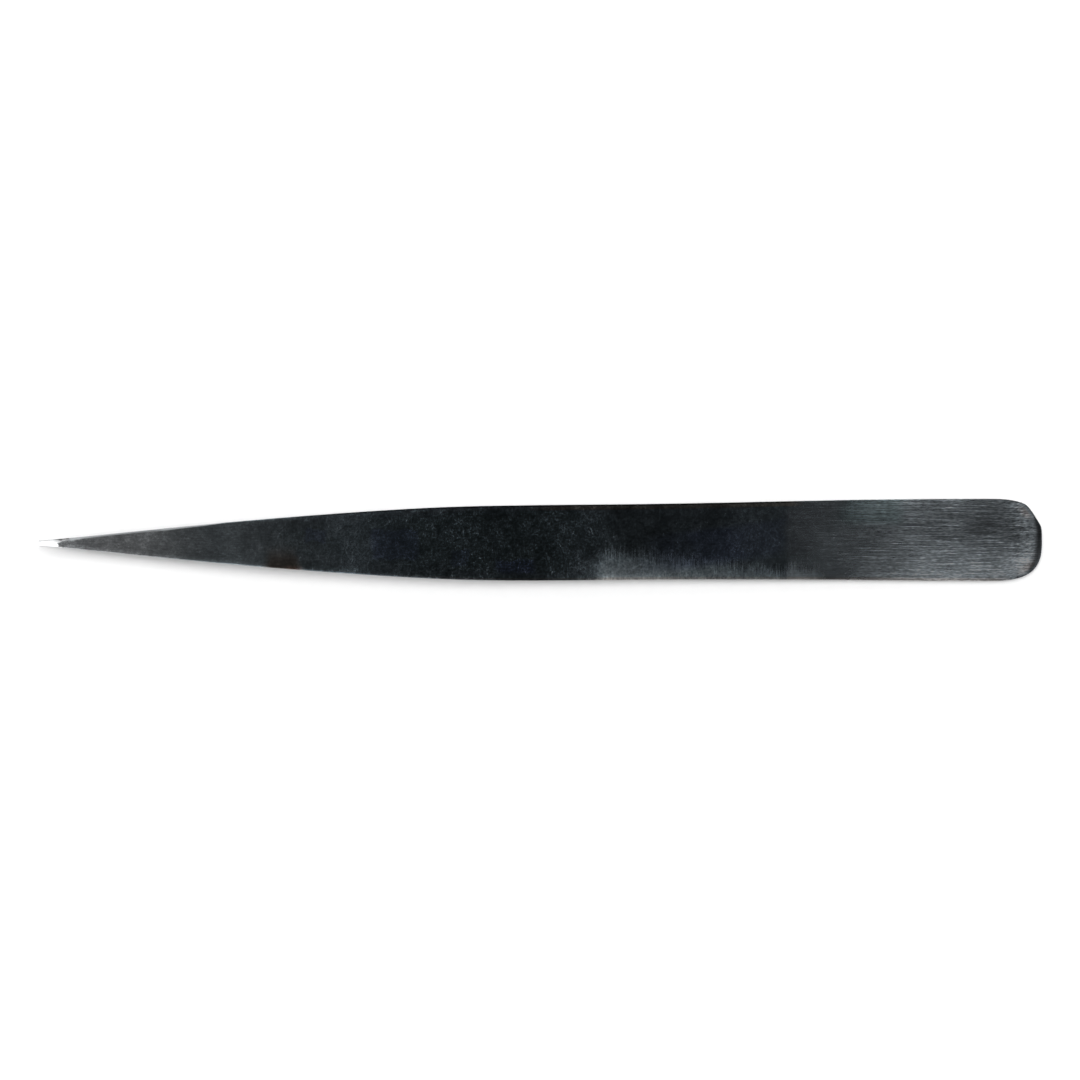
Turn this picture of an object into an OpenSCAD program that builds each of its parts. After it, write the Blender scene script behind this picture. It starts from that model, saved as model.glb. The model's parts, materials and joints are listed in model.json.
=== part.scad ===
// Straight precision tweezers: two spring-steel arms, spot-welded together at
// the heel, lying on the broad face of the lower arm and the heel edge.
// Frame: +Z up, X along the length with the heel at +X and the tips at -X.
// The origin is on the table under the middle of the tweezers.
// All sizes are in millimetres.

/* [Overall] */
// Length over the heel end and the tips
length = 120; // [110:1:140]
// Clear gap between the two tips with the arms relaxed
tip_gap = 11; // [8:0.5:13]

/* [Outline] */
// Width across the heel, the widest place
heel_width = 9.82; // [9:0.01:11]
// Width across the finger grip, at mid length
grip_width = 9.02; // [8:0.01:10]
// Width across each tip
tip_width = 0.6; // [0.4:0.05:0.8]
// Length of the rounded part of the heel outline
heel_round = 6.7; // [5:0.1:9]
// Squareness of the rounded heel outline, 2 is an ellipse
heel_square = 3; // [2.4:0.1:4]
// Y of the small ground corner flat, where it passes corner_flat_inset from the heel end
corner_flat_y = 3.93; // [3.6:0.01:4.4]
// Angle of the ground corner flat, from the length direction
corner_flat_angle = 58; // [54:0.5:68]

/* [Thickness] */
// Thickness of each arm at the welded heel
heel_thick = 1.3; // [1.1:0.05:1.6]
// Thickness of each arm at its thinned spring
spring_thick = 0.6; // [0.5:0.01:0.8]
// Thickness of each arm at the finger grip
grip_thick = 1.45; // [1.2:0.05:1.8]
// Thickness of each arm where its point starts
front_thick = 1.05; // [0.9:0.05:1.2]
// Thickness of each arm where the bevels meet, behind the tip
point_thick = 0.42; // [0.35:0.01:0.55]
// Thickness of each arm at the tip
tip_thick = 0.16; // [0.1:0.01:0.3]
// Radius of the rolled-over edge at the heel end
heel_end_r = 0.75; // [0.3:0.05:0.9]

/* [Zones along each arm, from the heel end] */
// Length of the welded heel
weld_len = 13.5; // [11:0.5:16]
// Where the spring zone ends and the stiff blade begins
spring_end = 45; // [38:1:50]

/* [Ground point] */
// How far behind the tip the side bevels begin
bevel_len = 22; // [15:1:28]
// How far behind the tip the two bevels meet in a ridge
ridge_len = 2.3; // [1.5:0.1:3.5]
// Slope of the side bevels
bevel_angle = 35; // [25:1:45]

/* [Spot welds] */
// Number of spot welds along the heel
weld_count = 3; // [2:1:3]
// Diameter of each fused weld nugget
weld_dia = 2.4; // [1.5:0.1:3]
// Depth of each nugget into either arm
weld_depth = 0.35; // [0.2:0.05:0.6]
// Pitch of the spot welds
weld_pitch = 3.4; // [3.2:0.1:3.8]

/* [Hidden] */
steel = [0.17, 0.18, 0.195];
steel_light = [0.3, 0.31, 0.33];
weld_steel = [0.36, 0.34, 0.31];

// Places along an arm. "dist" is always the distance from the heel end.
scale_x = length / 120;      // most places scale with the length
neck_start = 6 * scale_x;    // narrowing from heel to grip width
neck_len = 44.6 * scale_x;
thin_len = 4.5;              // thinning from the heel to the spring
swell_start = 33 * scale_x;  // thickening from the spring to the grip
swell_end = 48 * scale_x;
flat_start = 46 * scale_x;   // straight outer face along the finger grip
flat_end = 66 * scale_x;
front_start = 95 * scale_x;  // start of the point
ridge_start = length - ridge_len;
belly = [for (dist = [30 * scale_x:1:100 * scale_x]) dist];

corner_flat_inset = 1.5;
block = 20;                  // extrusion that takes in a whole arm
STEP = 0.5;                  // spacing of the integration stations
STEPS = round(length / STEP);
SLOPE_BASE = 2;              // length over which an end slope is taken

// Relaxed slope of an arm's outer face, before it is scaled to reach tip_gap:
// level over the heel, steepest where the spring ends its bend, straight along
// the finger grip, and easing in towards the point.
// Columns: distance from the heel end at length 120, degrees.
BOW = [[0, 0], [13.5, 0], [20, 2.4], [30, 6.2], [38, 5], [46, 3.6], [66, 3.6],
       [78, 2.7], [90, 2.1], [98, 1.5], [108, 1.2], [120, 1.2]];
// Relative rate at which an arm narrows to its tip.
// Columns: distance from the heel end at length 120, rate.
TAPER = [[0, 0], [56, 0], [66, 0.135], [76, 0.56], [90, 0.77], [104, 0.96],
         [114, 1], [120, 0.75]];

function smooth(share) = let (v = min(1, max(0, share))) v * v * (3 - 2 * v);
function mix(from, to, share) = from + (to - from) * share;
function share_of(dist, start, end) = (dist - start) / (end - start);
// Value "ahead" of a place, running on straight from the value SLOPE_BASE before it.
function run_on(value, before, ahead) = value + (value - before) / SLOPE_BASE * ahead;

// Running sum of a list of slopes, for curves given by their slope.
function cumulate(slopes) =
    [for (i = 0, sum = 0; i < len(slopes); sum = sum + slopes[i] * STEP, i = i + 1) sum];
function at(table, dist) = let (i = max(0, min(STEPS, dist / STEP)), j = floor(i))
    j >= STEPS ? table[STEPS] : mix(table[j], table[j + 1], i - j);

function thickness(dist) =
    dist <= weld_len ? heel_thick :
    dist <= weld_len + thin_len ?
        mix(heel_thick, spring_thick, smooth((dist - weld_len) / thin_len)) :
    dist <= swell_start ? spring_thick :
    dist <= swell_end ?
        mix(spring_thick, grip_thick, smooth(share_of(dist, swell_start, swell_end))) :
    dist <= flat_end ? grip_thick :
    dist <= front_start ?
        mix(grip_thick, front_thick, share_of(dist, flat_end, front_start)) :
    dist <= ridge_start ?
        mix(front_thick, point_thick, share_of(dist, front_start, ridge_start)) :
    mix(point_thick, tip_thick, (dist - ridge_start) / ridge_len);

// The bow is scaled so that the inner face, run on to the tip, leaves half the gap.
bow_sum = cumulate([for (i = [0:STEPS]) tan(lookup((i + 0.5) * STEP / scale_x, BOW))]);
tip_rise = run_on(at(bow_sum, ridge_start), at(bow_sum, ridge_start - SLOPE_BASE), ridge_len);
tip_fall = run_on(thickness(ridge_start), thickness(ridge_start - SLOPE_BASE), ridge_len);
bow_scale = (tip_gap / 2 - heel_thick + tip_fall) / tip_rise;

// Distance of an arm's outer and inner faces from the plane between the arms.
// The tip is ground from outside, so there the inner face runs on straight.
function outer(dist) = dist <= ridge_start ? heel_thick + bow_scale * at(bow_sum, dist) :
    inner(dist) + thickness(dist);
function inner(dist) = dist <= ridge_start ? outer(dist) - thickness(dist) :
    run_on(inner(ridge_start), inner(ridge_start - SLOPE_BASE), dist - ridge_start);

taper_sum = cumulate([for (i = [0:STEPS]) lookup((i + 0.5) * STEP / scale_x, TAPER)]);
taper_scale = (grip_width - tip_width) / 2 / taper_sum[STEPS];
function half_width(dist) =
    let (body = mix(heel_width, grip_width, smooth((dist - neck_start) / neck_len)) / 2
             - taper_scale * at(taper_sum, dist),
         inset = max(0, 1 - dist / heel_round))
    dist >= heel_round ? body :
        body * pow(max(0, 1 - pow(inset, heel_square)), 1 / heel_square);

// Evenly spaced stations, no more than "step" apart.
function stations(start, end, step) = let (n = max(1, ceil((end - start) / step)))
    [for (i = [0:n]) mix(start, end, i / n)];
// Stations that crowd towards the heel end; the first keeps a little width.
function heel_stations() =
    [for (i = [0:11]) heel_round * pow(i / 12, 2.2) + (i == 0 ? 0.004 : 0)];

// Attitude on the table: the heel edge and the belly of the lower arm touch it.
rest_tilt = max([for (dist = belly) atan((outer(dist) - heel_thick) / (dist - heel_end_r))]);
module place() {
    drop = max([for (dist = concat([heel_end_r], belly))
        outer(dist) * cos(rest_tilt) + (length / 2 - dist) * sin(rest_tilt)]);
    tip_x = -length / 2 * cos(rest_tilt) - outer(length) * sin(rest_tilt);
    heel_x = length / 2 * cos(rest_tilt) + (heel_thick - heel_end_r) * sin(rest_tilt);
    translate([-(tip_x + heel_x) / 2, 0, drop]) rotate([0, rest_tilt, 0]) children();
}
module lower() mirror([0, 0, 1]) children();

// Flat outline of an arm through a list of stations, less the +Y heel corner.
module outline(list) {
    right = [for (dist = list) [length / 2 - dist, half_width(dist)]];
    left = [for (i = [len(list) - 1:-1:0]) [right[i].x, -right[i].y]];
    intersection() {
        polygon(concat(right, left));
        translate([length / 2 - corner_flat_inset, corner_flat_y]) rotate(-corner_flat_angle)
            translate([-3 * length, -3 * length]) square([6 * length, 3 * length]);
    }
}
// Side view of an arm, X along the length and Y its height.
// The outer face has no stations within the straight grip, save the end ones.
module side(list, end_round) {
    roll = [for (a = [0:15:75])
        [length / 2 - heel_end_r * (1 - cos(a)), heel_thick - heel_end_r * (1 - sin(a))]];
    top = [for (dist = list)
        if ((!end_round || dist >= heel_end_r) && (dist <= flat_start || dist >= flat_end
            || dist == list[0] || dist == list[len(list) - 1]))
            [length / 2 - dist, outer(dist)]];
    bottom = [for (i = [len(list) - 1:-1:0]) [length / 2 - list[i], inner(list[i])]];
    polygon(concat(end_round ? roll : [], top, bottom));
}
module arm_zone(plan, profile, end_round = false) {
    intersection() {
        linear_extrude(block) outline(plan);
        translate([0, block / 2, 0]) rotate([90, 0, 0])
            linear_extrude(block) side(profile, end_round);
    }
}
// Everything outside the side bevel on the +Y edge of the point.
module bevel_cut() {
    margin = 6;
    cut_width = 16;
    cut_height = 6;
    start = length - bevel_len;
    run = bevel_len - ridge_len;
    yaw = atan2(half_width(start), run);
    pitch = atan2(outer(ridge_start) - outer(start), run / cos(yaw));
    translate([length / 2 - start, half_width(start), outer(start)])
        rotate([0, 0, 180 + yaw]) rotate([bevel_angle, -pitch, 0])
            translate([-margin, -cut_width / 2, 0])
                cube([bevel_len + 2 * margin, cut_width, cut_height]);
}
module heel() {
    difference() {
        arm_zone(concat(heel_stations(), stations(heel_round, weld_len, step = 3.4)),
                 [0, heel_end_r, weld_len], end_round = true);
        welds();
    }
}
module spring()
    arm_zone(stations(weld_len, spring_end, step = 3.5),
             stations(weld_len, spring_end, step = 1.5));
module blade() {
    difference() {
        arm_zone(stations(spring_end, length, step = 2.5),
                 concat([spring_end], spring_end < flat_start ? [flat_start] : [],
                        stations(max(flat_start, spring_end) + 2, flat_end, step = 4),
                        stations(flat_end + 2.5, ridge_start, step = 2.5), [length]));
        bevel_cut();
        mirror([0, 1, 0]) bevel_cut();
    }
}
// Fused nuggets, centred on the plane between the arms.
module welds() {
    for (i = [0:weld_count - 1])
        translate([length / 2 - weld_len / 2 + (i - (weld_count - 1) / 2) * weld_pitch,
                   0, -weld_depth])
            cylinder(h = 2 * weld_depth, d = weld_dia, $fn = 48);
}

module upper_arm_heel() color(steel_light) place() heel();
module upper_arm_spring() color(steel) place() spring();
module upper_arm_blade() color(steel) place() blade();
module lower_arm_heel() color(steel_light) place() lower() heel();
module lower_arm_spring() color(steel) place() lower() spring();
module lower_arm_blade() color(steel) place() lower() blade();
module spot_welds() color(weld_steel) place() welds();

upper_arm_heel();
upper_arm_spring();
upper_arm_blade();
lower_arm_heel();
lower_arm_spring();
lower_arm_blade();
spot_welds();
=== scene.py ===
import json
import math

import bmesh
import bpy
import numpy as np
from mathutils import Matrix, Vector


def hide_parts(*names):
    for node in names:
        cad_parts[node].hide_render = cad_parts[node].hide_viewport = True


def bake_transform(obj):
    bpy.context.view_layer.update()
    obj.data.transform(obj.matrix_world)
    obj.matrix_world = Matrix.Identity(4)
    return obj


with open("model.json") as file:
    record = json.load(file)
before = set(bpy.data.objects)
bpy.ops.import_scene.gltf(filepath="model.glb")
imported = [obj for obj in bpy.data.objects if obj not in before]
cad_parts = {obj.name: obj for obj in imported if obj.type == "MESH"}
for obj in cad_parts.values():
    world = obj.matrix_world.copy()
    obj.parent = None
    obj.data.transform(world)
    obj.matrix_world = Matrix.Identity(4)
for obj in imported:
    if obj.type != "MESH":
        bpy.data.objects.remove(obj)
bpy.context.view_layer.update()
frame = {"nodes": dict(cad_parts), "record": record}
record = frame["record"]
joints = {joint["name"]: joint for joint in record["behaviour"]["joints"]}
mounts = {mount["name"]: mount for mount in record["mounts"]}
scene = bpy.context.scene

# ---------------------------------------------------------------------------
# The tweezers' own frame, in millimetres: s runs from the heel end to the tips,
# y across the width, n outwards from the plane between the arms.
UPPER_JOINT = Vector(joints["upper_arm_squeeze"]["pos_m"])
LOWER_JOINT = Vector(joints["lower_arm_squeeze"]["pos_m"])
UP = (UPPER_JOINT - LOWER_JOINT).normalized()
TO_HEEL = Vector((UP.z, 0.0, -UP.x))
JOINT_MID = (UPPER_JOINT + LOWER_JOINT) / 2
HEEL_FACE_S = 7.5
JOINT_S = HEEL_FACE_S + (Vector(mounts["heel_face"]["pos_m"]) - JOINT_MID).dot(TO_HEEL) * 1000


def place(s, y, n):
    """World positions, in metres, of points given in the tweezers' own frame."""
    s, y, n = np.broadcast_arrays(np.asarray(s, float), y, n)
    return (
        np.array(JOINT_MID)[None, :]
        + np.outer((JOINT_S - s.ravel()) / 1000, np.array(TO_HEEL))
        + np.outer(y.ravel() / 1000, (0, 1, 0))
        + np.outer(n.ravel() / 1000, np.array(UP))
    )


def smooth(u):
    u = np.clip(u, 0, 1)
    return u * u * (3 - 2 * u)


def mix(a, b, u):
    return a + (b - a) * u


# ---------------------------------------------------------------------------
# Sizes of one arm, in millimetres. _T is a thickness, _W a full width, _S a station.
LENGTH = 120.0
HEEL_T, SPRING_T, GRIP_T, FRONT_T, POINT_T, TIP_T = 1.3, 0.6, 1.45, 1.05, 0.42, 0.16
HEEL_W, GRIP_W, TIP_W = 9.82, 9.02, 0.6
TIP_GAP = 11.0          # between the inner faces at the tips
WELD_LEN = 13.5         # the arms touch up to here
THINNING_LEN = 4.5      # from heel thickness to spring thickness
SPRING_END_S = 33
SWELL_LEN = 15          # from spring thickness to grip thickness
GRIP_END_S, FRONT_S = 66.0, 95.0
LAST_LEN = 2.3          # the straight last stretch before the tip
POINT_S = LENGTH - LAST_LEN
HEEL_ROUND = 6.7        # length of the rounded heel end
HEEL_END_HALF_W = 0.65
BLEND_END_S = 45.0
CORNER_FLAT = dict(s=1.5, y=3.90, slope=1.6, blend=0.6)  # line across the +Y heel corner
EDGE_ROUND, TIP_EDGE_ROUND, INNER_ROUND = 0.17, 0.06, 0.05
INNER_CLEARANCE = 0.002
BEVEL_SLOPE = 0.5
TIP_LEAN = 0.26         # fall of the tip facet per mm towards +Y
OUTLINE_TURN = 0.004425  # radians between the outline's centre line and the s axis

FINE_S = np.linspace(0, LENGTH, 4801)
# Slope of the outer face away from the mid-plane: stations, then degrees.
BOW = np.tan(np.radians(np.interp(
    FINE_S,
    [0, 13.5, 20, 30, 38, 46, 66, 78, 90, 98, 108, 120],
    [0, 0, 2.4, 6.2, 5, 3.6, 3.6, 2.7, 2.1, 1.5, 1.2, 1.2])))
# Rate at which the width narrows: stations, then relative rates.
TAPER = np.interp(
    FINE_S,
    [0, 56, 66, 76, 90, 104, 114, 120],
    [0, 0, 0.135, 0.56, 0.77, 0.96, 1, 0.75])


def running_sum(rate):
    step = FINE_S[1] - FINE_S[0]
    return np.concatenate([[0], np.cumsum((rate[1:] + rate[:-1]) / 2 * step)])


BOW_SUM = running_sum(BOW)
TAPER_SUM = running_sum(TAPER)
TAPER_SCALE = (GRIP_W - TIP_W) / 2 / TAPER_SUM[-1]


def bow_sum(s):
    return np.interp(s, FINE_S, BOW_SUM)


def thick(s):
    s = np.asarray(s, float)
    thinned_s, swollen_s = WELD_LEN + THINNING_LEN, SPRING_END_S + SWELL_LEN
    return np.select(
        [s <= WELD_LEN, s <= thinned_s, s <= SPRING_END_S, s <= swollen_s,
         s <= GRIP_END_S, s <= FRONT_S, s <= POINT_S],
        [HEEL_T + 0 * s,
         mix(HEEL_T, SPRING_T, smooth((s - WELD_LEN) / THINNING_LEN)),
         SPRING_T + 0 * s,
         mix(SPRING_T, GRIP_T, smooth((s - SPRING_END_S) / SWELL_LEN)),
         GRIP_T + 0 * s,
         mix(GRIP_T, FRONT_T, (s - GRIP_END_S) / (FRONT_S - GRIP_END_S)),
         mix(FRONT_T, POINT_T, (s - FRONT_S) / (POINT_S - FRONT_S))],
        mix(POINT_T, TIP_T, (s - POINT_S) / LAST_LEN))


def carry_on(curve, s):
    """Continue a curve straight past POINT_S, at its slope over the 2 mm before."""
    last = curve(POINT_S)
    return last + (last - curve(POINT_S - 2)) / 2 * (s - POINT_S)


BOW_SCALE = float(
    (TIP_GAP / 2 - HEEL_T + carry_on(thick, LENGTH)) / carry_on(bow_sum, LENGTH))


def inner_before_point(s):
    return HEEL_T + BOW_SCALE * bow_sum(s) - thick(s)


def inner(s):
    s = np.asarray(s, float)
    return np.where(s <= POINT_S, inner_before_point(s), carry_on(inner_before_point, s))


def outer(s):
    return inner(s) + thick(s)


def half_width(s):
    s = np.asarray(s, float)
    body = (mix(HEEL_W, GRIP_W, smooth((s - 6) / 44.6)) / 2
            - TAPER_SCALE * np.interp(s, FINE_S, TAPER_SUM))
    to_end = np.clip(1 - s / HEEL_ROUND, 0, 1)
    width = body * np.clip(1 - to_end ** 3, 0, 1) ** (1 / 3)
    return np.maximum(width, np.where(s < 1, HEEL_END_HALF_W, 0))


def drift(s):
    """The hand-ground outline wanders a little off the straight centre line."""
    s = np.asarray(s, float)
    straight = 1 - np.clip((s - 23) / 40.6, 0, 1)
    eased = 1 - smooth((s - 17) / 53)
    return 0.395 * eased * 0.5 + 0.395 * straight * 0.5 - (0.4245 - OUTLINE_TURN * s)


def side_width(s, side):
    """Half width on one side: the +Y heel corner carries a small ground flat."""
    width = half_width(s)
    if side > 0:
        flat = CORNER_FLAT
        line = flat["y"] + flat["slope"] * (np.asarray(s, float) - flat["s"])
        blend = flat["blend"]
        u = np.clip(0.5 + 0.5 * (line - width) / blend, 0, 1)
        rounded = mix(line, width, u) - blend * u * (1 - u)
        width = np.where(line > width + blend, width,
                         np.where(line < width - blend, line, rounded))
    return width


# ---------------------------------------------------------------------------
# One arm as a single closed skin.

# Rows of the skin along the arm: listed at both ends, (start, stop, step) between.
HEEL_END_ROWS = [0, 0.008, 0.02, 0.04, 0.07, 0.11, 0.15, 0.2]
ROW_RUNS = [
    (0.25, 1.3, 0.05), (1.3, 3.0, 0.1), (3.0, 7.0, 0.2), (7.0, 13.5, 0.5),
    (13.5, 46, 0.4), (46, 66, 1.0), (66, 98, 0.5), (98, 114, 0.3),
    (114, 117.3, 0.15), (117.3, 118.3, 0.05), (118.3, 119.9, 0.1),
]
TIP_ROWS = [119.9, 119.96, 120.0]
ROWS = np.concatenate([HEEL_END_ROWS, *(np.arange(*run) for run in ROW_RUNS), TIP_ROWS])

# Distances in from an edge where the skin has points, on a face 4 mm or more to a side.
EDGE_STEPS = np.array([0, .012, .03, .055, .085, .12, .16, .21, .28, .38, .52, .72,
                       1.0, 1.4, 1.9, 2.5, 3.2])
FULL_STEP_W = 4.0
WALL_RINGS = (0.02, 0.35, 0.65, 0.98)  # shares of the way from outer to inner rim
ROUND_END_S = 9.0       # up to here the rim distance is measured to the curved outline
SHARP_ANGLE = math.radians(28)

# Width of the falling-away crescent at the heel end: y, then width.
ROLL_Y = [-4.3, -3.9, -3.4, -2.8, -1.8, 0, 1.2, 2.2, 2.8, 4.2]
ROLL_WIDTH = [0.17, 0.40, 0.95, 1.25, 1.25, 1.0, 0.85, 0.55, 0.22, 0.17]
# Width of the ground bevel on either edge: stations, then widths.
BEVEL_PLUS = ([97, 100.7, 105.5, 109, 112.7, 115, 116.3, 117.3, 120],
              [0, 0.17, 0.27, 0.2, 0.2, 0.25, 0.36, 0.36, 0.2])
BEVEL_MINUS = ([97, 106, 115, 117.2, 120], [0, 0.03, 0.05, 0.05, 0.04])


def outline_distance(s, y):
    """Distance from points of the face to the arm's outline near the heel end."""
    along = np.concatenate([np.linspace(0, 1, 260) ** 2.5 * 11, np.arange(11.02, 12.5, .05)])
    plus = np.stack([along, side_width(along, 1)], 1)
    minus = np.stack([along, -side_width(along, -1)], 1)
    cap = np.stack([np.zeros(30), np.linspace(-side_width(0, -1), side_width(0, 1), 30)], 1)
    line = np.concatenate([minus[::-1], cap, plus])
    start, step = line[:-1], line[1:] - line[:-1]
    step_square = np.maximum((step * step).sum(1), 1e-12)
    distances = []
    for point in np.stack([s, y], 1):
        share = np.clip(((point - start) * step).sum(1) / step_square, 0, 1)
        distances.append(np.hypot(*((start + step * share[:, None]) - point).T).min())
    return np.array(distances)


def end_roll(y, distance):
    """How far the face falls away round the heel end: a soft crescent, widest towards -Y."""
    width = np.interp(y, ROLL_Y, ROLL_WIDTH)
    return 0.21 * width * np.clip(1 - distance / width, 0, 1) ** 4


def bevel_width(s, y):
    """Width of the ground bevel: plain on the +Y edge of the point, slight on the -Y edge."""
    return np.where(y > 0, np.interp(s, *BEVEL_PLUS), np.interp(s, *BEVEL_MINUS))


def tip_facet(s, y):
    """Plane of the facet across the very tip, leaning to +Y so that it runs back there."""
    fall = (outer(LENGTH) - outer(POINT_S)) / LAST_LEN
    return outer(POINT_S) + fall * (s - POINT_S) - TIP_LEAN * np.clip(y, 0, None)


def ground(s, y, distance):
    """2 on the bright facet of the tip, 1 on the ground bevel, 0 on the dark face."""
    width = bevel_width(s, y)
    bevel = np.where(width > 0.06, np.clip((width - distance) / 0.05 + 0.5, 0, 1), 0)
    facet_s = 117.75 - 3.0 * np.clip(y, 0, 0.45) - 0.6 * np.clip((-0.12 - y) / 0.25, 0, 1)
    return np.maximum(bevel, 2 * np.clip((s - facet_s) / 0.3 + 0.5, 0, 1))


def face_height(s, y, distance):
    """Height of the outer face over the mid-plane."""
    crown = 0.05 * np.clip(y / 4.9, -1, 1) ** 2 * smooth(s / 5) * (1 - smooth((s - 85) / 25))
    edge = mix(EDGE_ROUND, TIP_EDGE_ROUND, smooth((s - 90) / 20))
    edge_roll = 0.42 * edge * np.clip(1 - distance / edge, 0, 1) ** 2
    roll = mix(end_roll(y, distance), edge_roll, smooth((s - 1.2) / 2.2))
    bevel = np.clip(bevel_width(s, y) - distance, 0, None) * BEVEL_SLOPE
    thickness = thick(s)
    # the very tip is ground round from the outside
    nose = 0.05 * smooth((s - 119.4) / 0.6) + 0.05 * np.clip((s - POINT_S) / LAST_LEN, 0, 1) ** 2
    drop = np.minimum(crown + roll + bevel, thickness * 0.72)
    face = outer(s) - drop
    facet = np.where(s > 115.5, tip_facet(s, y), face)
    face = np.maximum(np.minimum(face, facet), inner(s) + 0.25 * thickness)
    return face - nose * np.clip(1 - drop / thickness, 0, 1)


def face_grid():
    """s, y and distance from the rim of every point of a face, row after row."""
    all_y, all_distance = [], []
    for s in ROWS:
        plus, minus = float(side_width(s, 1)), float(side_width(s, -1))
        narrow = min(plus, minus)
        from_plus = EDGE_STEPS * min(1.0, plus / FULL_STEP_W)
        from_minus = EDGE_STEPS * min(1.0, minus / FULL_STEP_W)
        middle = (plus - minus) / 2 if narrow < FULL_STEP_W else 0.0
        all_y.append(np.concatenate(
            [-(minus - from_minus), [middle], (plus - from_plus)[::-1]]))
        all_distance.append(np.concatenate([from_minus, [narrow], from_plus[::-1]]))
    s = np.repeat(ROWS, len(all_y[0]))
    y, distance = np.concatenate(all_y), np.concatenate(all_distance)
    near = s < ROUND_END_S
    distance[near] = outline_distance(s[near], y[near])
    return s, y, distance


def grid_quads(grid):
    corners = (grid[:-1, :-1], grid[1:, :-1], grid[1:, 1:], grid[:-1, 1:])
    return np.stack([corner.ravel() for corner in corners], 1)


def finish_shading(mesh):
    """Turn the faces outwards and mark the sharp edges."""
    for polygon in mesh.polygons:
        polygon.use_smooth = True
    skin = bmesh.new()
    skin.from_mesh(mesh)
    if skin.calc_volume(signed=True) < 0:
        bmesh.ops.reverse_faces(skin, faces=skin.faces)
    for edge in skin.edges:
        if len(edge.link_faces) == 2:
            edge.smooth = edge.calc_face_angle(0) < SHARP_ANGLE
    skin.to_mesh(mesh)
    skin.free()


def set_attribute(mesh, name, kind, field, values):
    attribute = mesh.attributes.new(name, kind, "POINT")
    attribute.data.foreach_set(field, values.astype(np.float32).ravel())


def arm(name, side):
    """One arm: outer face, inner face and the wall between their rims."""
    s, y, distance = face_grid()
    face_size = len(s)
    outer_n = face_height(s, y, distance)
    from_round = INNER_ROUND - np.minimum(distance, INNER_ROUND)
    inner_roll = INNER_ROUND - np.sqrt(np.clip(INNER_ROUND ** 2 - from_round ** 2, 0, None))
    inner_n = inner(s) + np.minimum(inner_roll, 0.3 * thick(s)) + INNER_CLEARANCE
    outer_points = np.stack([s, y, outer_n], 1)
    inner_points = np.stack([s, y, inner_n], 1)

    grid = np.arange(face_size).reshape(len(ROWS), -1)
    faces = [grid_quads(grid), grid_quads(grid + face_size)[:, ::-1]]
    # inner rings let the wall shade on its own
    rim = np.concatenate([grid[:, 0], grid[-1, 1:-1], grid[::-1, -1], grid[0, -2:0:-1]])
    points = [outer_points, inner_points]
    rings = [rim]
    for index, share in enumerate(WALL_RINGS):
        points.append(outer_points[rim] * (1 - share) + inner_points[rim] * share)
        rings.append(2 * face_size + index * len(rim) + np.arange(len(rim)))
    rings.append(rim + face_size)
    for ring, following in zip(rings[:-1], rings[1:]):
        faces.append(np.stack(
            [ring, np.roll(ring, -1), np.roll(following, -1), following], 1))

    points, faces = np.concatenate(points), np.concatenate(faces)
    wall_size = len(WALL_RINGS) * len(rim)
    # 0 on the outer face, 2 on the inner face, 1 on the wall
    zone = np.repeat([0.0, 2.0, 1.0], [face_size, face_size, wall_size])
    if side < 0:
        faces = faces[:, ::-1]
    world_points = place(points[:, 0], points[:, 1] + drift(points[:, 0]), side * points[:, 2])
    mesh = bpy.data.meshes.new(name)
    mesh.from_pydata(world_points.tolist(), [], faces.tolist())
    mesh.validate()

    off_face = np.zeros(face_size + wall_size)
    set_attribute(mesh, "tool", "FLOAT_VECTOR", "vector", points)
    set_attribute(mesh, "zone", "FLOAT", "value", zone)
    set_attribute(mesh, "rim", "FLOAT", "value", np.concatenate([distance, off_face]))
    set_attribute(mesh, "ground", "FLOAT", "value",
                  np.concatenate([ground(s, y, distance), off_face]))
    uv_map = mesh.uv_layers.new(name="length")
    loops = np.zeros(len(mesh.loops), np.int32)
    mesh.loops.foreach_get("vertex_index", loops)
    uv = np.stack([points[loops, 0] / 120,
                   0.5 + points[loops, 1] / 20 + (zone[loops] > 1.5) * 0.001], 1)
    uv_map.data.foreach_set("uv", uv.astype(np.float32).ravel())

    piece = bpy.data.objects.new(name, mesh)
    scene.collection.objects.link(piece)
    finish_shading(mesh)
    return piece


upper = arm("upper_arm", side=1)
lower = arm("lower_arm", side=-1)
blend_start = tuple(Vector(place([WELD_LEN], [0], [0])[0]))
blend_end = tuple(Vector(place([BLEND_END_S], [0], [0])[0]))
for piece, body in ((upper, "upper_arm"), (lower, "lower_arm")):
    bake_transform(piece)
    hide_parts(body + "_heel", body + "_spring", body + "_blade")


# ---------------------------------------------------------------------------
# Shader nodes written as arithmetic.
def put(tree, socket, item):
    if isinstance(item, Value):
        tree.links.new(item.socket, socket)
    elif isinstance(item, tuple) and socket.type == "RGBA":
        socket.default_value = (*item, 1)
    else:
        socket.default_value = item


def fill(tree, node, inputs):
    for key, item in inputs.items():
        put(tree, node.inputs[key], item)


def add_node(tree, kind, inputs=None, **settings):
    node = tree.nodes.new(kind)
    for key, setting in settings.items():
        setattr(node, key, setting)
    fill(tree, node, inputs or {})
    return node


def source(tree, kind, output, **settings):
    """An output of a node that needs no inputs."""
    return Value(tree, add_node(tree, kind, **settings).outputs[output])


def derive(kind, inputs, output=0, **settings):
    """An output of a new node in the tree that its inputs come from."""
    tree = next(item.tree for item in inputs.values() if isinstance(item, Value))
    return Value(tree, add_node(tree, kind, inputs, **settings).outputs[output])


def calculate(operation, *values, clamp=False):
    return derive("ShaderNodeMath", dict(enumerate(values)), operation=operation, use_clamp=clamp)


def larger(a, b):
    return calculate("MAXIMUM", a, b)


def vector(x, y, z):
    return derive("ShaderNodeCombineXYZ", {0: x, 1: y, 2: z})


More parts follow.
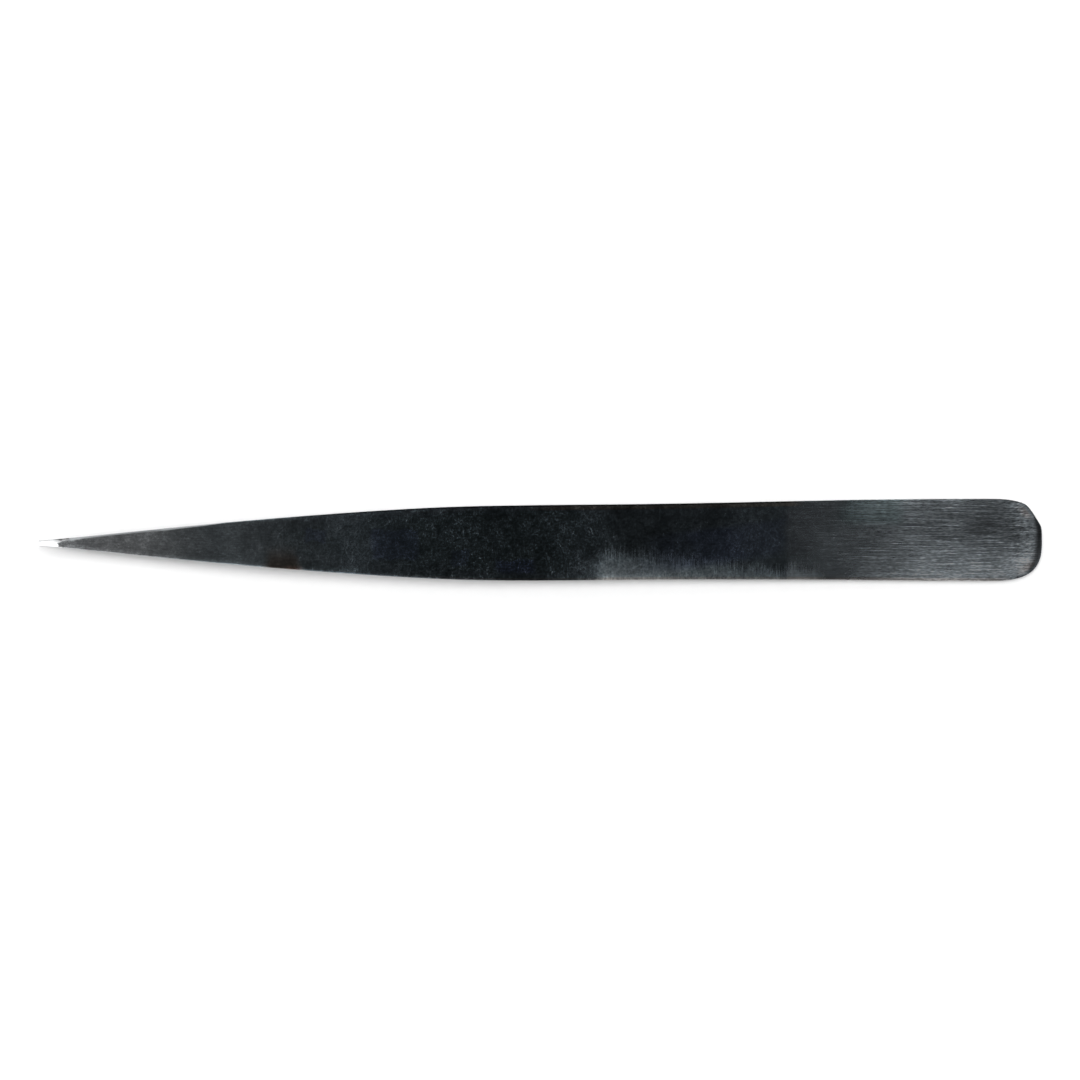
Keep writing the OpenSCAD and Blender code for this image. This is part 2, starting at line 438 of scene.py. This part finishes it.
def split(value):
    node = add_node(value.tree, "ShaderNodeSeparateXYZ", {0: value})
    return [Value(value.tree, output) for output in node.outputs]


class Value:
    """An output socket; arithmetic on it adds math nodes to its tree."""

    def __init__(self, tree, socket):
        self.tree = tree
        self.socket = socket

    def ramp(self, start, stop, first=0.0, last=1.0, kind="SMOOTHSTEP"):
        """Go from first to last while this value goes from start to stop."""
        return derive("ShaderNodeMapRange", {0: self, 1: start, 2: stop, 3: first, 4: last},
                      interpolation_type=kind, clamp=True)

    def line(self, start, stop):
        return self.ramp(start, stop, kind="LINEAR")

    def fade(self, start, stop):
        """1 below start, 0 above stop."""
        return 1.0 - self.ramp(start, stop)

    def band(self, low, full, full_end, high):
        """0 below low, 1 from full to full_end, 0 above high."""
        return self.ramp(low, full) * self.fade(full_end, high)

    def swing(self, size):
        """A 0 to 1 value spread over size, centred on zero."""
        return (self - 0.5) * size

    def noise(self, scale=1.0, detail=2.0, rough=0.5, distort=0.0):
        return derive("ShaderNodeTexNoise", {
            "Vector": self, "Scale": scale, "Detail": detail,
            "Roughness": rough, "Distortion": distort}, noise_dimensions="3D")

    def mix(self, a, b):
        """a where this value is 0, b where it is 1."""
        return derive("ShaderNodeMix", {"Factor": self, 2: a, 3: b}, data_type="FLOAT")

    def colour(self, a, b):
        """Colour a where this value is 0, b where it is 1."""
        return derive("ShaderNodeMix", {"Factor": self, 6: a, 7: b}, output=2,
                      data_type="RGBA")

    def tint(self, mask, by):
        """This colour multiplied by another where the mask is 1."""
        return derive("ShaderNodeVectorMath", {0: self, 1: mask.colour((1, 1, 1), by)},
                      operation="MULTIPLY")

    def curve(self, points):
        """Piecewise linear function through (value, result) points."""
        x_start, x_end = points[0][0], points[-1][0]
        y_top = max(y for _, y in points)
        node = add_node(self.tree, "ShaderNodeFloatCurve", {"Value": self.line(x_start, x_end)})
        knots = node.mapping.curves[0].points
        for index, (x, y) in enumerate(points):
            spot = (x - x_start) / (x_end - x_start), y / y_top
            if index < 2:
                knots[index].location = spot
            else:
                knots.new(*spot)
        for knot in knots:
            knot.handle_type = "VECTOR"
        node.mapping.update()
        return Value(self.tree, node.outputs[0]) * y_top


def operator(operation, swapped):
    def apply(self, other):
        pair = (other, self) if swapped else (self, other)
        return calculate(operation, *pair)
    return apply


for word, operation in (("add", "ADD"), ("sub", "SUBTRACT"), ("mul", "MULTIPLY"),
                        ("truediv", "DIVIDE"), ("pow", "POWER")):
    setattr(Value, f"__{word}__", operator(operation, swapped=False))
    setattr(Value, f"__r{word}__", operator(operation, swapped=True))


# ---------------------------------------------------------------------------
# Steel of the arms. Ramps and bands of s, y and rim are in millimetres.
class Surface:
    """Position on an arm as node values, and the masks that its finishes share."""

    def __init__(self, tree, seed):
        self.seed = seed
        self.point = source(tree, "ShaderNodeAttribute", "Vector", attribute_name="tool")
        zone, self.rim, on_ground = (
            source(tree, "ShaderNodeAttribute", "Fac", attribute_name=name)
            for name in ("zone", "rim", "ground"))
        self.s, self.y, self.n = split(self.point)
        s, y, rim = self.s, self.y, self.rim
        self.bevel = calculate("MINIMUM", on_ground, 1.0)
        self.facet = calculate("SUBTRACT", on_ground, 1.0, clamp=True)
        self.wall = zone.ramp(0.4, 0.9)
        self.inside = zone.ramp(1.1, 1.6)
        self.plus = y.ramp(-0.1, 0.1)
        self.minus = 1.0 - self.plus

        # wandering borders between the finishes along the arm
        self.wobble = self.pattern(along=0.3, across=0.5, detail=2)
        self.rough_s = s + self.wobble.swing(2.4)
        self.heel = (s + self.wobble.swing(1.6)).curve(
            [(15, 1.0), (20, 0.94), (23, 0.80), (27, 0.58), (31, 0.40), (33, 0.38)]
        ) * s.fade(30.2, 31.1)
        self.front = self.rough_s.ramp(98, 110)
        self.brown = self.rough_s.band(88.8, 90.0, 92.0, 93.6) * y.fade(-2.6, 0.2)
        self.stain = s.band(88.3, 88.9, 90.2, 91.2) * rim.fade(0.30, 0.55) * self.minus

        self.cross = self.pattern(
            along=6.5, across=0.5, shift=7, detail=2, rough=0.6, distort=0.1)
        self.blotch = self.point.noise(scale=0.32, detail=3, rough=0.55)
        self.wall_noise = vector(s * 0.8, y * 3.0, self.n * 9.0).noise(detail=2)
        self.inside_noise = self.pattern(along=0.5, across=5.0, shift=21, detail=3, rough=0.6)
        # contrast of the grain along the arm
        self.contrast = s.curve([
            (20, 0.3), (29, 0.35), (33, 0.65), (45, 0.80), (55, 0.97), (59, 1.28), (72, 1.28),
            (76, 1.0), (80, 0.80), (90, 0.66), (96, 0.48), (103, 0.48), (107, 0.52),
            (115, 0.60), (120, 0.60)])

    def pattern(self, along, across, shift=0, s=None, y=None, detail=1, **noise):
        """Noise with its own frequency along and across the arm."""
        s, y = s or self.s, y or self.y
        return vector(s * along, y * across, self.seed + shift).noise(detail=detail, **noise)


def heel_streaks(at):
    """Lengthwise brushing on the heel."""
    s = at.s
    leaning = at.y + at.pattern(along=0.05, across=0.12, shift=11).swing(0.5)
    fine = at.pattern(along=0.22, across=8.0, y=leaning)
    short = at.pattern(along=1.5, across=9.5, shift=3, y=leaning)
    broad = at.pattern(along=0.14, across=1.7, shift=5, y=leaning, detail=2)
    streak = larger(fine.swing(5.0) + short.swing(3.7) + broad.swing(1.1), -0.62)
    hatch = at.pattern(along=2.2, across=6.0, shift=9, y=at.y + s * 0.25)
    streak += hatch.swing(2.6) * s.fade(2.5, 6.0)
    streak *= s.curve([(13, 1.0), (22, 0.70), (25, 0.58), (28, 0.40), (31, 0.32)])
    return streak * s.ramp(1.0, 2.6).mix(at.rim.ramp(0.45, 0.95, first=0.3, last=1.0), 1.0)


def even_grain(at):
    """Even grain on the rest of the arm, drawn out lengthwise towards the point."""
    grain = (at.point.noise(scale=1.7, detail=1).swing(2.0)
             + at.point.noise(scale=4.2, detail=1).swing(3.3)
             + at.point.noise(scale=0.8, detail=2).swing(1.5))
    lengthwise = at.pattern(along=1.2, across=4.6, shift=13)
    bars = at.pattern(along=1.0, across=0.10, shift=17, detail=2)
    grain = at.s.ramp(88, 98).mix(grain, grain * 0.72 + lengthwise.swing(2.6)) * at.contrast
    return grain + bars.swing(0.75) * at.s.band(58, 64, 84, 92)


def scratch(at, angle, across, along, shift):
    """Short straight scratches at an angle, in degrees, to the length."""
    cos, sin = math.cos(math.radians(angle)), math.sin(math.radians(angle))
    lines = at.pattern(along=along, across=across, shift=shift,
                       s=at.s * cos + at.y * sin, y=at.y * cos - at.s * sin)
    return lines.ramp(0.62, 0.72)


def scratches(at):
    """Straight scratches, long arcs and a loose net of hairlines."""
    body = at.s.band(28, 33, 92, 102)
    steep = (scratch(at, angle=86, across=5.5, along=0.55, shift=31)
             + scratch(at, angle=62, across=5.0, along=0.75, shift=41))
    other = (scratch(at, angle=112, across=5.0, along=0.6, shift=51)
             + scratch(at, angle=4, across=5.0, along=0.6, shift=61) * 0.7)
    patches = at.point.noise(scale=0.45).ramp(0.40, 0.60, first=0.15, last=1.0)
    straight = (steep + other) * body * patches

    # rings round a centre beyond the -Y edge
    rings = derive("ShaderNodeTexWave", {
        "Vector": vector(at.s - 66.0, at.y + 7.5, at.n * 0.0), "Scale": 0.13,
        "Distortion": 7.0, "Detail": 3, "Detail Scale": 1.6}, output="Fac",
        wave_type="RINGS", rings_direction="SPHERICAL", wave_profile="SIN")
    arcs = rings.ramp(0.985, 0.999) * (
        at.point.noise(scale=0.5).ramp(0.48, 0.58) * at.s.band(50, 55, 82, 90))

    net = derive("ShaderNodeTexVoronoi", {
        "Vector": vector(at.s * 0.42, at.y * 0.13, at.seed), "Scale": 1.0},
        output="Distance", feature="DISTANCE_TO_EDGE", voronoi_dimensions="3D")
    hairs = net.fade(0.003, 0.020) * (at.point.noise(scale=0.6).ramp(0.48, 0.58) * body)
    return straight, arcs, hairs


def rubbed_patch(at):
    """A rubbed patch along the -Y side of the grip, combed crosswise."""
    reach = at.s.curve([
        (28, 0.16), (31, 0.20), (36, 0.27), (41, 0.34), (46, 0.40), (50, 0.47),
        (52.5, 0.48), (54, 0.34), (56, 0.30)]) + at.cross.swing(0.55)
    strength = at.s.curve([
        (26, 0.0), (30, 0.28), (35, 0.40), (41, 0.55), (46, 0.68), (52.3, 0.88),
        (53.6, 0.34), (55, 0.10), (57.5, 0.04), (60, 0.0)])
    smudge = (1.0 - at.y.line(-4.5, 4.5).line(0.0, reach)) ** 1.35
    return larger(smudge * strength * (1.0 + at.cross.swing(1.6)), 0.0)


def heel_painted_sheen(at):
    """Painted sheen on the heel: brighter along its -Y side and in a band round its end, standing
    in for reflections.
    """
    sides = at.y.curve([
        (-4.9, 3.85), (-4.2, 3.85), (-3.1, 3.70), (-1.95, 3.40), (-0.78, 3.02), (0, 2.70),
        (0.78, 2.42), (1.95, 2.38), (3.1, 2.62), (4.2, 2.98), (4.9, 3.10)]) - 3.0
    end = at.rim.curve([
        (0, 0.0), (0.3, 0.0), (0.5, 0.1), (0.7, 0.3), (0.9, 0.4), (1.2, 0.6), (1.45, 0.8),
        (1.8, 0.65), (2.4, 0.35), (3.6, 0.0)])
    plus_corner = at.rim.curve([
        (0, 0.5), (0.15, 0.8), (0.7, 0.85), (1.1, 0.7), (1.4, 0.4), (2.0, 0.15), (2.6, 0.0)])
    ring = at.y.ramp(1.9, 2.9).mix(end, plus_corner)
    return sides * at.s.ramp(9, 23, first=1.0, last=0.0), ring * at.s.fade(2.0, 4.2)


def brightness(at):
    """Brightness of the outer face, partly painted reflection and shade; the terms add up as
    powers of two.
    """
    s, y, rim = at.s, at.y, at.rim
    # painted reflection: brightness along the arm standing in for how the steel mirrors the
    # studio
    painted_reflection_tone = s.curve([
        (0, 2.55), (4, 2.4), (6, 2.3), (11, 2.6), (15.7, 2.8), (20.5, 2.85), (25, 3.0),
        (30, 3.1), (33, 3.35), (36, 3.1), (39.7, 2.6), (44.4, 2.4), (49.2, 2.1), (54, 2.95),
        (58.8, 2.47), (63.6, 1.95), (68.4, 2.36), (73.2, 2.12), (78, 2.05), (82.7, 2.75),
        (87.5, 2.1), (92.3, 2.5), (97.1, 2.84), (101.9, 2.42), (106.7, 2.45), (111.5, 2.5),
        (116.3, 2.75), (120, 2.8)]) - 3.0
    speck = (at.point.noise(scale=4.6, detail=1, rough=0.3).ramp(0.655, 0.76)
             * at.point.noise(scale=0.5, detail=1).ramp(0.35, 0.60, first=0.25, last=1.0))
    # grain and specks show less on the rubbed patch
    calm = 1.0 - at.smudge * 0.6
    shade = at.streak * at.heel.mix(0.12, 1.0) + at.grain * calm * at.heel.mix(1.0, 0.45)
    shade += at.blotch.swing(1.5) * at.heel.mix(1.0, 0.35)
    shade += speck * calm * s.ramp(28, 33).mix(0.05, 0.36)
    shade += at.scratches * (at.contrast * 0.5)
    shade += at.arcs * 0.7
    shade += at.hairs * 0.5
    shade += at.smudge * 0.9
    # light strip on the -Y edge beside the rubbed patch
    shade += rim.fade(0.2, 0.9) * at.minus * s.band(42, 45, 52, 53.6) * 0.6
    # painted sheen on the heel, standing in for reflections
    for painted_sheen in heel_painted_sheen(at):
        shade += painted_sheen
    shade -= at.brown * 0.62
    # both sides just past the weld
    shade += s.band(14, 17, 22, 26) * (y.ramp(2.2, 4.2) + y.fade(-4.6, -3.4)) * 0.3
    # edges lighter, the -Y one by a painted highlight, with a painted dark reflection line right
    # on the +Y one
    minus_edge_sheen = rim.fade(0.05, 0.65) * at.minus * s.ramp(60, 72) * (1.0 - at.brown * 0.9)
    plus_edge = rim.fade(0.30, 0.70) * at.plus * s.band(28, 31, 92, 98)
    # painted dark reflection along the +Y edge
    painted_dark_line = rim.fade(0.07, 0.17) * at.plus * s.band(29, 31, 84, 92)
    shade += minus_edge_sheen * 0.85
    shade += plus_edge * 0.40
    shade -= painted_dark_line * 2.6
    shade += at.stain * 0.6
    shade += painted_reflection_tone
    return 2.0 ** shade


def face_tints(at):
    """Colour of the outer face before its brightness."""
    s, y, rim, rough_s = at.s, at.y, at.rim, at.rough_s
    dark, light, point_grey = (0.210, 0.257, 0.286), (0.425, 0.465, 0.495), (0.368, 0.400, 0.428)
    base = at.heel.colour(dark, light)
    base = (at.front * 0.9).colour(base, point_grey)
    base = base.tint(s.ramp(78, 98), (1.07, 1.0, 0.95))
    base = base.tint(at.smudge, (1.12, 1.0, 0.93))

    patchy = at.point.noise(scale=0.22).ramp(0.40, 0.60)
    navy = (rough_s.band(30.2, 32, 43, 49)
            * (y + (s - 38) * 0.12).band(-3.2, -1.8, 1.2, 2.2) * patchy.mix(0.6, 1.0))
    base = base.tint(navy, (0.985, 1.0, 1.24))

    # blue patches with ragged borders
    ragged_s = s + at.wobble.swing(1.5)
    ragged_y = y + at.point.noise(scale=0.7, detail=1).swing(1.2)

    def patch(s_band, y_band):
        return ragged_s.band(*s_band) * ragged_y.band(*y_band)

    blue = (patch((74.6, 75.4, 80.0, 80.8), (-2.2, -1.6, 1.3, 1.9))
            + patch((85.6, 86.2, 88.2, 88.8), (-0.1, 0.3, 1.3, 1.7)) * 0.8
            + patch((68.8, 69.3, 70.7, 71.2), (-3.0, -2.6, -1.0, -0.6)) * 0.8)
    deep_blue = patch((60.6, 61.6, 65.0, 66.0), (-3.9, -3.3, -2.3, -1.7))
    teal = rough_s.band(15.5, 18, 23, 25) * y.ramp(1.2, 2.6)
    end_ring = rim.band(0.25, 0.55, 0.9, 1.5) * s.fade(1.8, 3.4)
    corners = end_ring * calculate("ABSOLUTE", y).ramp(2.2, 3.2)
    plus_edge = rim.fade(0.5, 0.7) * at.plus * s.band(28, 31, 58, 63)
    # warm painted sheen along the -Y edge
    minus_edge_sheen = rim.fade(0.20, 0.42) * at.minus * s.band(3, 6, 68, 82)
    for mask, by in (
            (blue, (0.98, 0.98, 1.17)),
            (deep_blue, (0.99, 0.98, 1.28)),
            (at.brown, (1.04, 0.78, 0.64)),
            (at.stain, (1.15, 0.97, 0.92)),
            (teal, (0.90, 1.0, 0.98)),
            (corners, (1.14, 1.0, 0.93)),
            (plus_edge, (1.28, 1.0, 0.82)),
            (minus_edge_sheen, (1.15, 1.0, 0.92))):
        base = base.tint(mask, by)
    return base


def steel_colour(at):
    s, y = at.s, at.y
    face = derive("ShaderNodeVectorMath", {0: face_tints(at), "Scale": brightness(at)},
                  operation="SCALE")
    # painted shade on the bright facet: darker along its +Y edge and on its +Y half
    edge_line = at.rim.fade(0.07, 0.15) * at.plus * s.ramp(114.5, 116.5)
    half = y.ramp(-0.02, 0.24) * s.fade(117.7, 118.6)
    facet_painted_shade = edge_line * 0.45 + half * s.ramp(116.3, 117.0, first=0.62, last=0.40)
    bright = facet_painted_shade.colour((0.92, 0.92, 0.92), (0.0, 0.0, 0.0))
    face = at.bevel.colour(face, at.facet.colour((0.36, 0.37, 0.375), bright))
    wall = at.wall_noise.ramp(0.3, 0.7).colour((0.33, 0.33, 0.335), (0.50, 0.50, 0.505))
    inside = at.inside_noise.ramp(0.3, 0.7).colour((0.42, 0.425, 0.43), (0.56, 0.56, 0.56))
    colour = at.inside.colour(at.wall.colour(face, wall), inside)
    return derive("ShaderNodeVectorMath", {0: colour, 1: (0.95, 0.95, 0.95)},
                  operation="MINIMUM")


def steel_roughness(at):
    rough = (at.front * 0.8).mix(at.heel.mix(0.15, 0.30), 0.22)
    rough += at.smudge ** 0.6 * 0.36
    rough += at.streak * at.heel.mix(0.003, 0.03)
    rough += at.blotch.swing(0.06)
    rough = at.bevel.mix(rough, 0.12)
    rough = at.wall.mix(rough, 0.30 + at.wall_noise.swing(0.2))
    rough = at.inside.mix(rough, 0.33 + at.inside_noise.swing(0.2))
    return larger(rough, 0.07)


def steel_relief(at):
    """Heights in millimetres."""
    height = at.streak * at.heel.mix(0.0001, 0.0006)
    height += at.grain * 0.0001
    height += at.blotch.swing(0.006)
    height -= at.arcs * 0.0010
    height -= at.hairs * 0.0008
    height += at.cross.swing(0.0020) * at.s.band(30.5, 32, 52, 58)
    wall = vector(at.s * 1.5, at.y * 4.0, at.n * 14.0).noise(detail=3) * 0.010
    height = at.wall.mix(height, at.inside.mix(wall, at.inside_noise * 0.004))
    return derive("ShaderNodeBump", {"Strength": 1.0, "Distance": 0.001, "Height": height})


def arm_steel(name, seed):
    material = bpy.data.materials.new(name)
    material.use_nodes = True
    tree = material.node_tree
    tree.nodes.clear()
    output = add_node(tree, "ShaderNodeOutputMaterial")
    bsdf = add_node(tree, "ShaderNodeBsdfPrincipled")
    tree.links.new(bsdf.outputs[0], output.inputs["Surface"])
    at = Surface(tree, seed)
    at.streak = heel_streaks(at)
    at.grain = even_grain(at)
    at.scratches, at.arcs, at.hairs = scratches(at)
    at.smudge = rubbed_patch(at)
    fill(tree, bsdf, {
        "Base Color": steel_colour(at),
        "Metallic": 1.0,
        "Roughness": steel_roughness(at),
        "Tangent": source(tree, "ShaderNodeTangent", 0, direction_type="UV_MAP",
                          uv_map="length"),
        "Anisotropic": at.heel.mix(0.15, 0.60) * (1.0 - at.wall),
        "Anisotropic Rotation": 0.25,
        "Normal": steel_relief(at),
    })
    return material


upper.data.materials.append(arm_steel("arm_steel_upper", seed=0.0))
lower.data.materials.append(arm_steel("arm_steel_lower", seed=37.0))


# ---------------------------------------------------------------------------
# Plain materials.
def plain_material(name):
    """A new material, its tree and its default surface node."""
    material = bpy.data.materials.new(name)
    material.use_nodes = True
    return material, material.node_tree, material.node_tree.nodes["Principled BSDF"]


def weld_steel():
    material, tree, bsdf = plain_material("weld_steel")
    mottle = source(tree, "ShaderNodeTexCoord", "Object").noise(scale=900, detail=3)
    fill(tree, bsdf, {
        "Base Color": mottle.colour((0.30, 0.28, 0.26), (0.5, 0.48, 0.45)),
        "Metallic": 1.0,
        "Roughness": 0.3 + mottle * 0.3,
    })
    return material


def floor_paper():
    """Matt paper that, away from the tweezers, is lit evenly up to the horizon."""
    material, tree, bsdf = plain_material("floor_paper")
    grain = source(tree, "ShaderNodeTexCoord", "Object").noise(scale=700, detail=3)
    distance = derive("ShaderNodeVectorMath", {0: source(tree, "ShaderNodeTexCoord", "Object")},
                      output="Value", operation="LENGTH")
    fill(tree, bsdf, {
        "Base Color": grain.colour((0.90, 0.90, 0.90), (0.93, 0.93, 0.93)),
        "Roughness": 1.0,
        "Specular IOR Level": 0.0,
        "Emission Color": (1, 1, 1),
        "Emission Strength": distance.ramp(0.3, 1.3, first=0.0, last=0.62),
    })
    return material


welds = frame["nodes"]["spot_welds"]
welds.data.materials.clear()
welds.data.materials.append(weld_steel())

# ---------------------------------------------------------------------------
# Stage: a pale floor and a soft studio, in metres.
scene.view_settings.view_transform = "Standard"
scene.view_settings.look = "None"
FLOOR_HALF, FLOOR_Z = 3.0, -2e-5


def make_floor():
    mesh = bpy.data.meshes.new("floor")
    corners = [(-1, -1), (1, -1), (1, 1), (-1, 1)]
    mesh.from_pydata([(x * FLOOR_HALF, y * FLOOR_HALF, FLOOR_Z) for x, y in corners],
                     [], [(0, 1, 2, 3)])
    piece = bpy.data.objects.new("floor", mesh)
    scene.collection.objects.link(piece)
    mesh.materials.append(floor_paper())
    return piece


def studio_reflections(tree):
    """Brightness of the studio as the steel mirrors it."""
    dx, dy, dz = split(source(tree, "ShaderNodeTexCoord", "Generated"))
    # The slope, in degrees, that a surface seen from above needs to mirror each direction.
    rise = larger(1.0 + dz, 0.02)
    slope_x = calculate("ARCTANGENT", dx / rise) * (180 / math.pi)
    slope_y = calculate("ARCTANGENT", dy / rise) * (180 / math.pi)
    # bright beyond the tips, a dark ceiling panel over the heel side
    along = slope_x.curve([
        (-20, 1.3), (-2.5, 1.3), (-0.5, 0.95), (0.8, 0.34), (2.0, 0.20), (2.6, 0.178),
        (3.2, 0.15), (3.7, 0.115), (4.2, 0.075), (4.7, 0.050), (5.2, 0.034), (6, 0.026),
        (7, 0.040), (8, 0.050), (10, 0.045), (20, 0.040), (35, 0.035), (40, 0.05)])
    across = slope_y.curve([
        (-40, 0.30), (-12, 0.26), (-3, 0.08), (0, 0.0), (9, 0.0), (20, 0.36), (40, 0.42)
    ]) * slope_x.fade(4.2, 5.2)
    low = (slope_y.curve([(-40, 0.12), (-12, 0.07), (-4, 0.0), (40, 0.0)])
           * slope_x.ramp(4.0, 5.5))
    # the dark panel is darkest towards +Y, with a soft light between +X and +Y
    shut = (slope_y.ramp(2.0, 8.0) * slope_x.ramp(4.0, 5.5)).mix(1.0, 0.25)
    soft_light = slope_x.ramp(7, 18) * slope_y.ramp(8, 18) * 0.24
    corner_lights = slope_x.ramp(18, 28) * calculate("ABSOLUTE", slope_y).ramp(16, 28) * 0.30
    return larger(along * shut, larger(across, larger(low, soft_light + corner_lights)))


def make_world():
    """Separate surroundings for mirror reflections, for soft light and for the camera."""
    world = bpy.data.worlds.new("studio")
    scene.world = world
    world.use_nodes = True
    tree = world.node_tree
    tree.nodes.clear()
    output = add_node(tree, "ShaderNodeOutputWorld")

    def background(colour, strength):
        return source_of(add_node(tree, "ShaderNodeBackground",
                                  {"Color": colour, "Strength": strength}))

    def source_of(node, output=0):
        return Value(tree, node.outputs[output])

    glossy = background((0.97, 0.985, 1.0), studio_reflections(tree))
    soft = background((1, 1, 1), 0.42)
    seen = background((1, 1, 1), 1.0)
    rays = add_node(tree, "ShaderNodeLightPath")
    lighting = derive("ShaderNodeMixShader",
                      {0: source_of(rays, "Is Glossy Ray"), 1: soft, 2: glossy})
    surface = derive("ShaderNodeMixShader",
                     {0: source_of(rays, "Is Camera Ray"), 1: lighting, 2: seen})
    put(tree, output.inputs["Surface"], surface)


def area_light(name, location, size_x, size_y, power):
    """A rectangular light aimed at the origin and hidden from mirrors and the camera."""
    data = bpy.data.lights.new(name, "AREA")
    data.shape = "RECTANGLE"
    data.size, data.size_y = size_x, size_y
    data.energy = power
    light = bpy.data.objects.new(name, data)
    light.location = location
    aim = Vector((0, 0, 0)) - Vector(location)
    light.rotation_euler = aim.to_track_quat("-Z", "Y").to_euler()
    scene.collection.objects.link(light)
    light.visible_glossy = False
    light.visible_camera = False
    return light


# Camera: straight down through a long lens, turned with the outline's centre line.
CAMERA_HEIGHT = 1.2
SENSOR_WIDTH = 36.0                       # mm
TIP_ON_SENSOR, HEEL_ON_SENSOR = -16.7, 16.71  # mm right of the sensor's centre
Y_ON_SENSOR = 0.06                        # sideways offset of the view, mm on the sensor
MID_HEIGHT = 0.006                        # level at which that offset is measured


def make_camera():
    """Aim and lens that bring the tip and the heel end to their places on the sensor."""
    data = bpy.data.cameras.new("camera")
    camera = bpy.data.objects.new("camera", data)
    scene.collection.objects.link(camera)
    tip = place([LENGTH], [0], [float(outer(LENGTH))])[0]
    heel = place([0.0], [0], [0.3])[0]
    tip_reach = TIP_ON_SENSOR * (CAMERA_HEIGHT - tip[2])
    heel_reach = HEEL_ON_SENSOR * (CAMERA_HEIGHT - heel[2])
    x = (tip_reach * heel[0] - heel_reach * tip[0]) / (tip_reach - heel_reach)
    lens = tip_reach / (tip[0] - x)
    y = Y_ON_SENSOR * (CAMERA_HEIGHT - MID_HEIGHT) / lens
    data.type = "PERSP"
    data.sensor_width = SENSOR_WIDTH
    data.lens = lens
    data.clip_start, data.clip_end = 0.05, 20
    camera.location = (x, y, CAMERA_HEIGHT)
    camera.rotation_euler = (0, 0, -OUTLINE_TURN)
    scene.camera = camera
    return camera


floor = make_floor()
make_world()
key = area_light("key", location=(0.04, 0.08, 1.5), size_x=0.4, size_y=0.28, power=16.8)
fill_light = area_light("fill", location=(0.0, 0.55, 1.25), size_x=1.2, size_y=0.5, power=2.4)
camera = make_camera()
